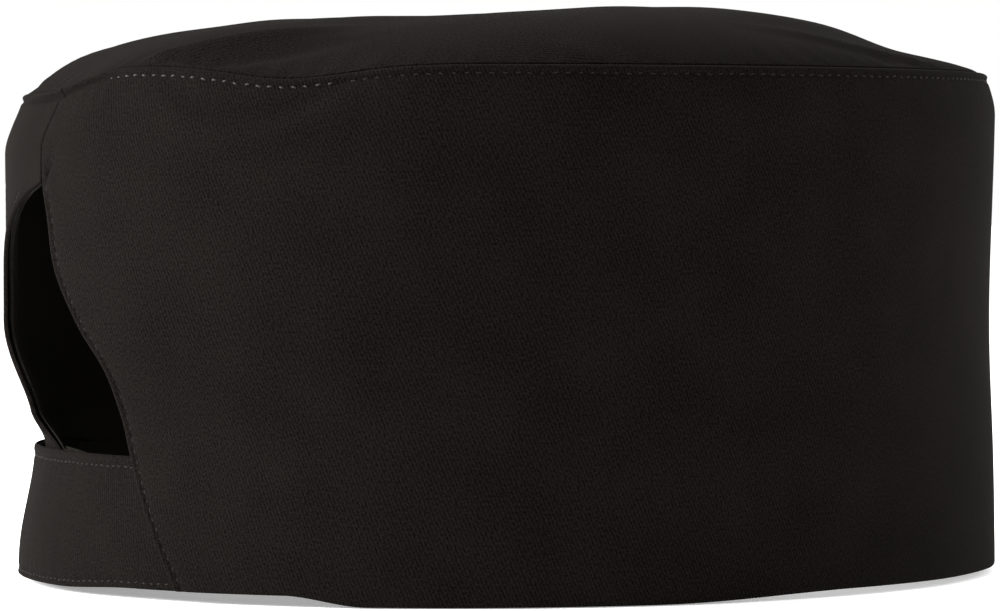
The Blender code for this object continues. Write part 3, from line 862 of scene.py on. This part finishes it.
def strapSurface(arc, height, depth):
    middle = ease(height, strapBottom, strapBottom + 5 * mm) * ease(-height, -strapTop, -strapTop + 5 * mm)
    hidden = ease(arc - nearEdge(height), -1.5 * mm, 0.5 * mm)      # flat where it lies under the edge
    place = onFace(ovalFace, arc, height, depth - strapRelief(arc, height, middle) * (1 - hidden))
    place[..., 2] += 0.9 * mm * ease(arc, 0, 25 * mm) * (1 - ease(height, 0, 20 * mm))
    return place


def strapGrid(inset, tail):
    # rows of the strap from its rounded tip to its sewn end
    bottom, top = strapBottom + inset, strapTop - inset
    heights = np.concatenate((bottom + strapInsets, np.linspace(bottom + 3.8 * mm, top - 3.8 * mm, 16),
                              top - strapInsets[::-1]))
    corner = np.clip(strap["corner"] - np.minimum(heights - bottom, top - heights), 0, None)
    tip = strapTip + inset + strap["corner"] - np.sqrt(strap["corner"] ** 2 - corner ** 2)
    root = nearEdge(heights) + tail
    arc = spreadColumns(tip, root, np.array((0, 0.1, 0.25, 0.45, 0.7, 1.1, 1.6, 2.2)) * mm, 120, 0.0)
    height = np.repeat(heights[:, None], arc.shape[1], axis=1)
    edge = np.minimum(np.minimum(height - bottom, top - height), arc - tip[:, None])
    return arc, height, edge


def crossHinge(piece):
    # finds the strap_peel hinge's axis and the way to the tip, then only bakes the piece's placement into
    # its mesh
    joint = jointOf["strap_peel"]
    axis = Vector(joint["axis"]).normalized()
    middle = (strapBottom + strapTop) / 2
    onAxis = Vector(joint["pos_m"]) + axis * ((middle - joint["pos_m"][2]) / axis.z)
    tipward = Vector(ovalFace(np.array(0.0), np.array(middle))) - onAxis
    tipward = (tipward - axis * tipward.dot(axis)).normalized()
    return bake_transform(piece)


def makeStrap():
    arc, height, edge = strapGrid(0, rootLength)
    rounding = turnIn(edge, 0.32 * mm, layers["strap"][1] * 0.45)
    toBack = turnIn(edge, 0.7 * mm, 0.2 * mm)       # the outer cloth wraps round to meet the backing
    piece = makePanel("strapOuter", strapSurface, arc, height, layers["strap"], rounding, strapTwill, toBack)
    crossHinge(piece)
    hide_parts("strap_outer", "strap_root")
    arc, height, edge = strapGrid(0.35 * mm, rootLength - 1 * mm)
    rounding = turnIn(edge, 0.32 * mm, layers["strapBacking"][1] * 0.45)
    toFront = -turnIn(edge, 0.7 * mm, 0.2 * mm)
    piece = makePanel("strapBacking", strapSurface, arc, height, layers["strapBacking"], rounding,
                      strapTwill, toFront)
    crossHinge(piece)
    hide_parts("strap_backing")
    # topstitching: along the top, round the tip, back along the bottom
    top, bottom = strapTop - strap["topRow"], strapBottom + strap["bottomRow"]
    tip = strapTip + strap["tipRow"]
    bend = strap["corner"] - strap["tipRow"]
    swing = np.linspace(0, pi / 2, 16)
    lineArc = np.concatenate((
        np.linspace(nearEdge(top) - 0.2 * mm, tip + bend, 200), tip + bend - bend * np.sin(swing),
        tip + bend - bend * np.cos(swing), np.linspace(tip + bend, nearEdge(bottom) - 0.2 * mm, 200)))
    lineHeight = np.concatenate((
        np.full(200, top), top - bend + bend * np.cos(swing),
        bottom + bend - bend * np.sin(swing), np.full(200, bottom)))
    outerFace = layers["strap"][0]
    innerFace = layers["strapBacking"][0] + layers["strapBacking"][1]
    for name, face, seed in (
            ("strapStitchesOuter", lambda a, h, d: strapSurface(a, h, outerFace + d), 86),
            ("strapStitchesInner", lambda a, h, d: strapSurface(a, h, innerFace - d), 87)):
        # the strap's rows take the darker thread, a painted shade
        row = stitchRow(name, face, lineArc, lineHeight, shadedThread, pitch=1.9 * mm, length=1.1 * mm,
                        width=0.36 * mm, lift=0.08 * mm, seed=seed)
        crossHinge(row)


makeStrap()
print("strap made")

# hook tape on the strap, loop tape on the tab
closure = dict(
    hookArcs=(-57 * mm, -22 * mm), loopArcs=(-59 * mm, -9 * mm), low=3.5 * mm, high=23.5 * mm,
    base=0.3 * mm,            # each tape's woven ground
    hookGap=1.2 * mm,         # real hooks stand about half as far apart, which is too fine to show
    loopCount=1500,
)


def tapeFace(arc, height, depth):
    return onFace(ovalFace, arc, height, depth)


def makeTape(name, span, depth, thick, finish, body, node, faceOut, seed):
    low, high = closure["low"], closure["high"]
    insets = np.array((0, 0.12, 0.35, 0.8)) * mm
    heights = np.concatenate((low + insets, np.linspace(low + 2 * mm, high - 2 * mm, 14),
                              high - insets[::-1]))
    start, end = np.full(len(heights), span[0]), np.full(len(heights), span[1])
    arc = spreadColumns(start, end, insets, 60, 0.0)
    height = np.repeat(heights[:, None], arc.shape[1], axis=1)
    edge = np.minimum(np.minimum(height - low, high - height), np.minimum(arc - span[0], span[1] - arc))
    rounding = turnIn(edge, 0.3 * mm, thick * 0.4)
    piece = makePanel(name, tapeFace, arc, height, (depth, thick), rounding, finish)
    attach(piece, body)
    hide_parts(node)
    inset = 1.5 * mm
    left, right, foot, head = span[0] + inset, span[1] - inset, low + inset, high - inset
    share = np.linspace(0, 4, 401)             # once round the tape's four sides
    lineArc = np.interp(share, range(5), (left, right, right, left, left))
    lineHeight = np.interp(share, range(5), (foot, foot, head, head, foot))
    face = (lambda a, h, d: tapeFace(a, h, depth + d)) if faceOut else (
        lambda a, h, d: tapeFace(a, h, depth + thick - d))
    row = stitchRow(name + "Stitches", face, lineArc, lineHeight, blackThread, pitch=2.4 * mm,
                    lift=0.08 * mm, seed=seed)
    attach(row, body)


def makeClosure():
    base = closure["base"]
    hookDepth = layers["hook"][0]
    loopDepth, loopThick = layers["loop"]
    makeTape("hookTape", closure["hookArcs"], hookDepth, base, hookNylon, "strap",
             "hook_tape", False, 91)
    makeTape("loopTape", closure["loopArcs"], loopDepth + loopThick - base, base, loopNylon, "cap",
             "loop_tape", True, 92)
    dice = np.random.default_rng(93)
    inset = 2.6 * mm
    # hooks: moulded nylon crooks that lean both ways in alternate rows
    first, last = closure["hookArcs"]
    grid = np.meshgrid(np.arange(first + inset, last - inset, closure["hookGap"]),
                       np.arange(closure["low"] + inset, closure["high"] - inset, closure["hookGap"]))
    hookArc, hookHeight = [v.ravel() for v in grid]
    side = np.where(np.round(hookHeight / closure["hookGap"]) % 2 > 0, 1.0, -1.0)[:, None]
    swing = np.array((0, 0.25, 0.5, 0.75, 1, 1.25)) * pi
    tall, bend = 0.36 * mm, 0.17 * mm
    out = np.concatenate(([0, tall * 0.6], tall + bend * np.sin(swing[1:]))) + 0 * hookArc[:, None]
    over = np.concatenate(([0, 0], bend * (1 - np.cos(swing[1:])))) * side
    paths = onFace(ovalFace, hookArc[:, None] + over, hookHeight[:, None] + 0 * over, hookDepth + base + out)
    hooks = makeStrands("hookCrooks", paths, 0.075 * mm, np.array((0, 0, 1.0)), hookNylon, sides=5)
    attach(hooks, "strap")
    # loops: a napped pile that lies every way
    count = closure["loopCount"]
    loopArc = dice.uniform(closure["loopArcs"][0] + inset, closure["loopArcs"][1] - inset, count)
    loopHeight = dice.uniform(closure["low"] + inset, closure["high"] - inset, count)
    lean = dice.uniform(0, 2 * pi, count)
    size = dice.uniform(0.35, 0.6, count)[:, None] * mm
    swing = np.linspace(0, pi, 7)
    a = loopArc[:, None] + size * np.cos(swing) * np.cos(lean)[:, None]
    h = loopHeight[:, None] + size * np.cos(swing) * np.sin(lean)[:, None]
    high = np.minimum(size * 0.8, loopThick - base - 0.05 * mm)
    paths = onFace(ovalFace, a, h, loopDepth + loopThick - base - high * np.sin(swing))
    upright = np.stack((-np.sin(lean), 0.3 + 0 * lean, np.cos(lean)), -1)[:, None]
    pile = makeStrands("loopPile", paths, 0.05 * mm, upright, loopNylon, sides=4)
    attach(pile, "cap")


makeClosure()
print("closure made")

# topstitching on the band
def makeBandStitches():
    top = wall["height"] - band["crownRow"]
    rows = {}
    line = np.linspace(17 * mm, 70 * mm, 900)            # the rolled crown hides the row behind
    rows["crownStitches"] = (line, np.full(900, top), dict(
        pitch=2.3 * mm, length=1.15 * mm, width=0.46 * mm, seed=101))
    line = np.linspace(72 * mm, girth - 42 * mm, 2400)   # sunk deeper along the right side and the front, and drawn in the darker thread as painted shade
    rows["frontStitches"] = (line, np.full(2400, top), dict(
        pitch=2.3 * mm, length=1.15 * mm, width=0.4 * mm, lift=0.04 * mm, seed=104))
    climb = np.linspace(1.2 * mm, opening["apex"], 500)
    reach = band["edgeRow"] * np.hypot(1, opening["hemArc"] / opening["apex"])
    rows["slantStitches"] = (nearEdge(climb) + reach, climb, dict(
        pitch=2.1 * mm, width=0.3 * mm, lift=0.02 * mm, seed=102))
    climb = np.linspace(1.2 * mm, opening["tab"] - 2 * mm, 200)
    rows["tabStitches"] = (girth + farEdge(climb) - band["edgeRow"], climb, dict(
        pitch=2.1 * mm, width=0.34 * mm, seed=105))
    climb = np.linspace(31 * mm, opening["apex"] - 1.5 * mm, 500)
    step = 0.5 * mm
    lean = (farEdge(climb + step) - farEdge(climb - step)) / (2 * step)
    inside = band["edgeRow"] * np.hypot(1, np.clip(lean, -2.5, 2.5))
    rows["moonStitches"] = (girth + farEdge(climb) - inside, climb, dict(
        pitch=2.1 * mm, width=0.34 * mm, lift=0.04 * mm, seed=103))
    for name, (lineArc, lineHeight, size) in rows.items():
        # every row but the crown row takes the darker thread, a painted shade
        thread = blackThread if name == "crownStitches" else shadedThread
        row = stitchRow(name, bandSurface, lineArc, lineHeight, thread, **size)
        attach(row, "cap")


makeBandStitches()

# bar tack: satin stitches side by side across the point of the gap
tack = dict(passes=18, width=0.9 * mm, thread=0.28 * mm, low=(1.7, 77.8), high=(4.2, 81.2))     # ends in mm


def makeBarTack():
    low, high = np.array(tack["low"]) * mm, np.array(tack["high"]) * mm
    share = np.linspace(0, 1, tack["passes"])[:, None]
    reach = np.linspace(-0.5, 0.5, 7)
    lean = (high - low) / np.linalg.norm(high - low)
    arc = low[0] + (high[0] - low[0]) * share + reach * tack["width"] * lean[1]
    height = low[1] + (high[1] - low[1]) * share - reach * tack["width"] * lean[0] + reach * 0.2 * mm
    lift = 0.1 * mm - 0.5 * mm * (2 * np.abs(reach)) ** 3
    paths = bandSurface(arc, height, -(lift + 0 * arc))
    upright = squareTo(wallFace, arc, height)
    piece = makeStrands("gapBarTack", paths, tack["thread"] / 2, upright, tackThread)
    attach(piece, "cap")
    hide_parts("gap_bar_tack")


makeBarTack()

# labels: blank woven satin, sewn to the binding by their top edges
labels = dict(thick=0.16 * mm, curl=1.1 * mm, ripple=0.35 * mm, step=0.5 * mm)


def makeLabel(name, node, seed, forward):
    low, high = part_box(node)
    width, length = high.y - low.y, high.z - low.z
    u, v = np.meshgrid(np.linspace(0, 1, 34), np.linspace(0, 1, 44))
    hang = 1 - v
    bow = labels["curl"] * (hang ** 2) * (0.35 - (2 * u - 1) ** 2)
    bow = bow + labels["ripple"] * cloud(u * 2 + seed, v * 3, seed) * hang
    x = ((low + high) / 2).x - forward - bow
    spot = np.stack((x, low.y + width * u, low.z + length * v), -1)
    half = labels["thick"] / 2
    front, back = spot.copy(), spot.copy()
    front[..., 0] += half
    back[..., 0] -= half
    piece = makeCloth(name, front[:, ::-1], back[:, ::-1], np.stack((width * u, length * v), -1), labelSatin)
    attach(piece, "labels")
    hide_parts(node)


makeLabel("careLabel", "care_label", 5, 0.0)
makeLabel("sizeLabel", "size_label", 8, labels["step"])
print("stitches, tack and labels made")

# floor, light and camera
studio = dict(
    floor="#ffffff", floorSize=12, floorGlow=0.35, worldStrength=1.0, lightSize=0.7,
    keyPower=60, keyPlace=(0.52, 1.25, 0.65), fillPower=7, fillPlace=(0.05, -1.35, 0.5),
    lens=192, sensor=36, distance=1.05, azimuth=240, eyeHeight=78 * mm, aim=(0.5 * mm, 0.9 * mm, 52.5 * mm))


def makeStudio():
    # a painted sweep: matt, even and very pale
    floorMaterial, _, shader = startMaterial("whiteSweep", Roughness=0.9, **{"Specular IOR Level": 0.0})
    shader.inputs["Base Color"].default_value = fromHex(studio["floor"])
    shader.inputs["Emission Color"].default_value = (1, 1, 1, 1)
    shader.inputs["Emission Strength"].default_value = studio["floorGlow"]
    bpy.ops.mesh.primitive_plane_add(size=studio["floorSize"], location=(0, 0, cadBox[0].z - 0.15 * mm))
    floor = bpy.context.object
    floor.name = "floor"
    floor.data.materials.append(floorMaterial)
    world = bpy.data.worlds.new("studioWorld")
    world.use_nodes = True
    world.node_tree.nodes["Background"].inputs["Color"].default_value = (1, 1, 1, 1)
    world.node_tree.nodes["Background"].inputs["Strength"].default_value = studio["worldStrength"]
    bpy.context.scene.world = world
    for name, place, power in (("keyLight", studio["keyPlace"], studio["keyPower"]),
                               ("fillLight", studio["fillPlace"], studio["fillPower"])):
        lamp = bpy.data.lights.new(name, "AREA")
        lamp.size = studio["lightSize"]
        lamp.energy = power
        lampObject = bpy.data.objects.new(name, lamp)
        lampObject.location = place
        lampObject.rotation_mode = "QUATERNION"
        lampObject.rotation_quaternion = (Vector((0, 0, 0.05)) - Vector(place)).to_track_quat("-Z", "Y")
        bpy.context.scene.collection.objects.link(lampObject)
    camera = bpy.data.cameras.new("camera")
    camera.lens = studio["lens"]
    camera.sensor_width = studio["sensor"]
    camera.clip_start = 0.05
    cameraObject = bpy.data.objects.new("camera", camera)
    turn = radians(studio["azimuth"])
    away = studio["distance"]
    cameraObject.location = (away * sin(turn), -away * cos(turn), studio["eyeHeight"])
    aim = Vector(studio["aim"])
    cameraObject.rotation_mode = "QUATERNION"
    cameraObject.rotation_quaternion = (aim - cameraObject.location).to_track_quat("-Z", "Y")
    bpy.context.scene.collection.objects.link(cameraObject)
    bpy.context.scene.camera = cameraObject
    bpy.context.scene.view_settings.view_transform = "Standard"


makeStudio()
print("studio made")
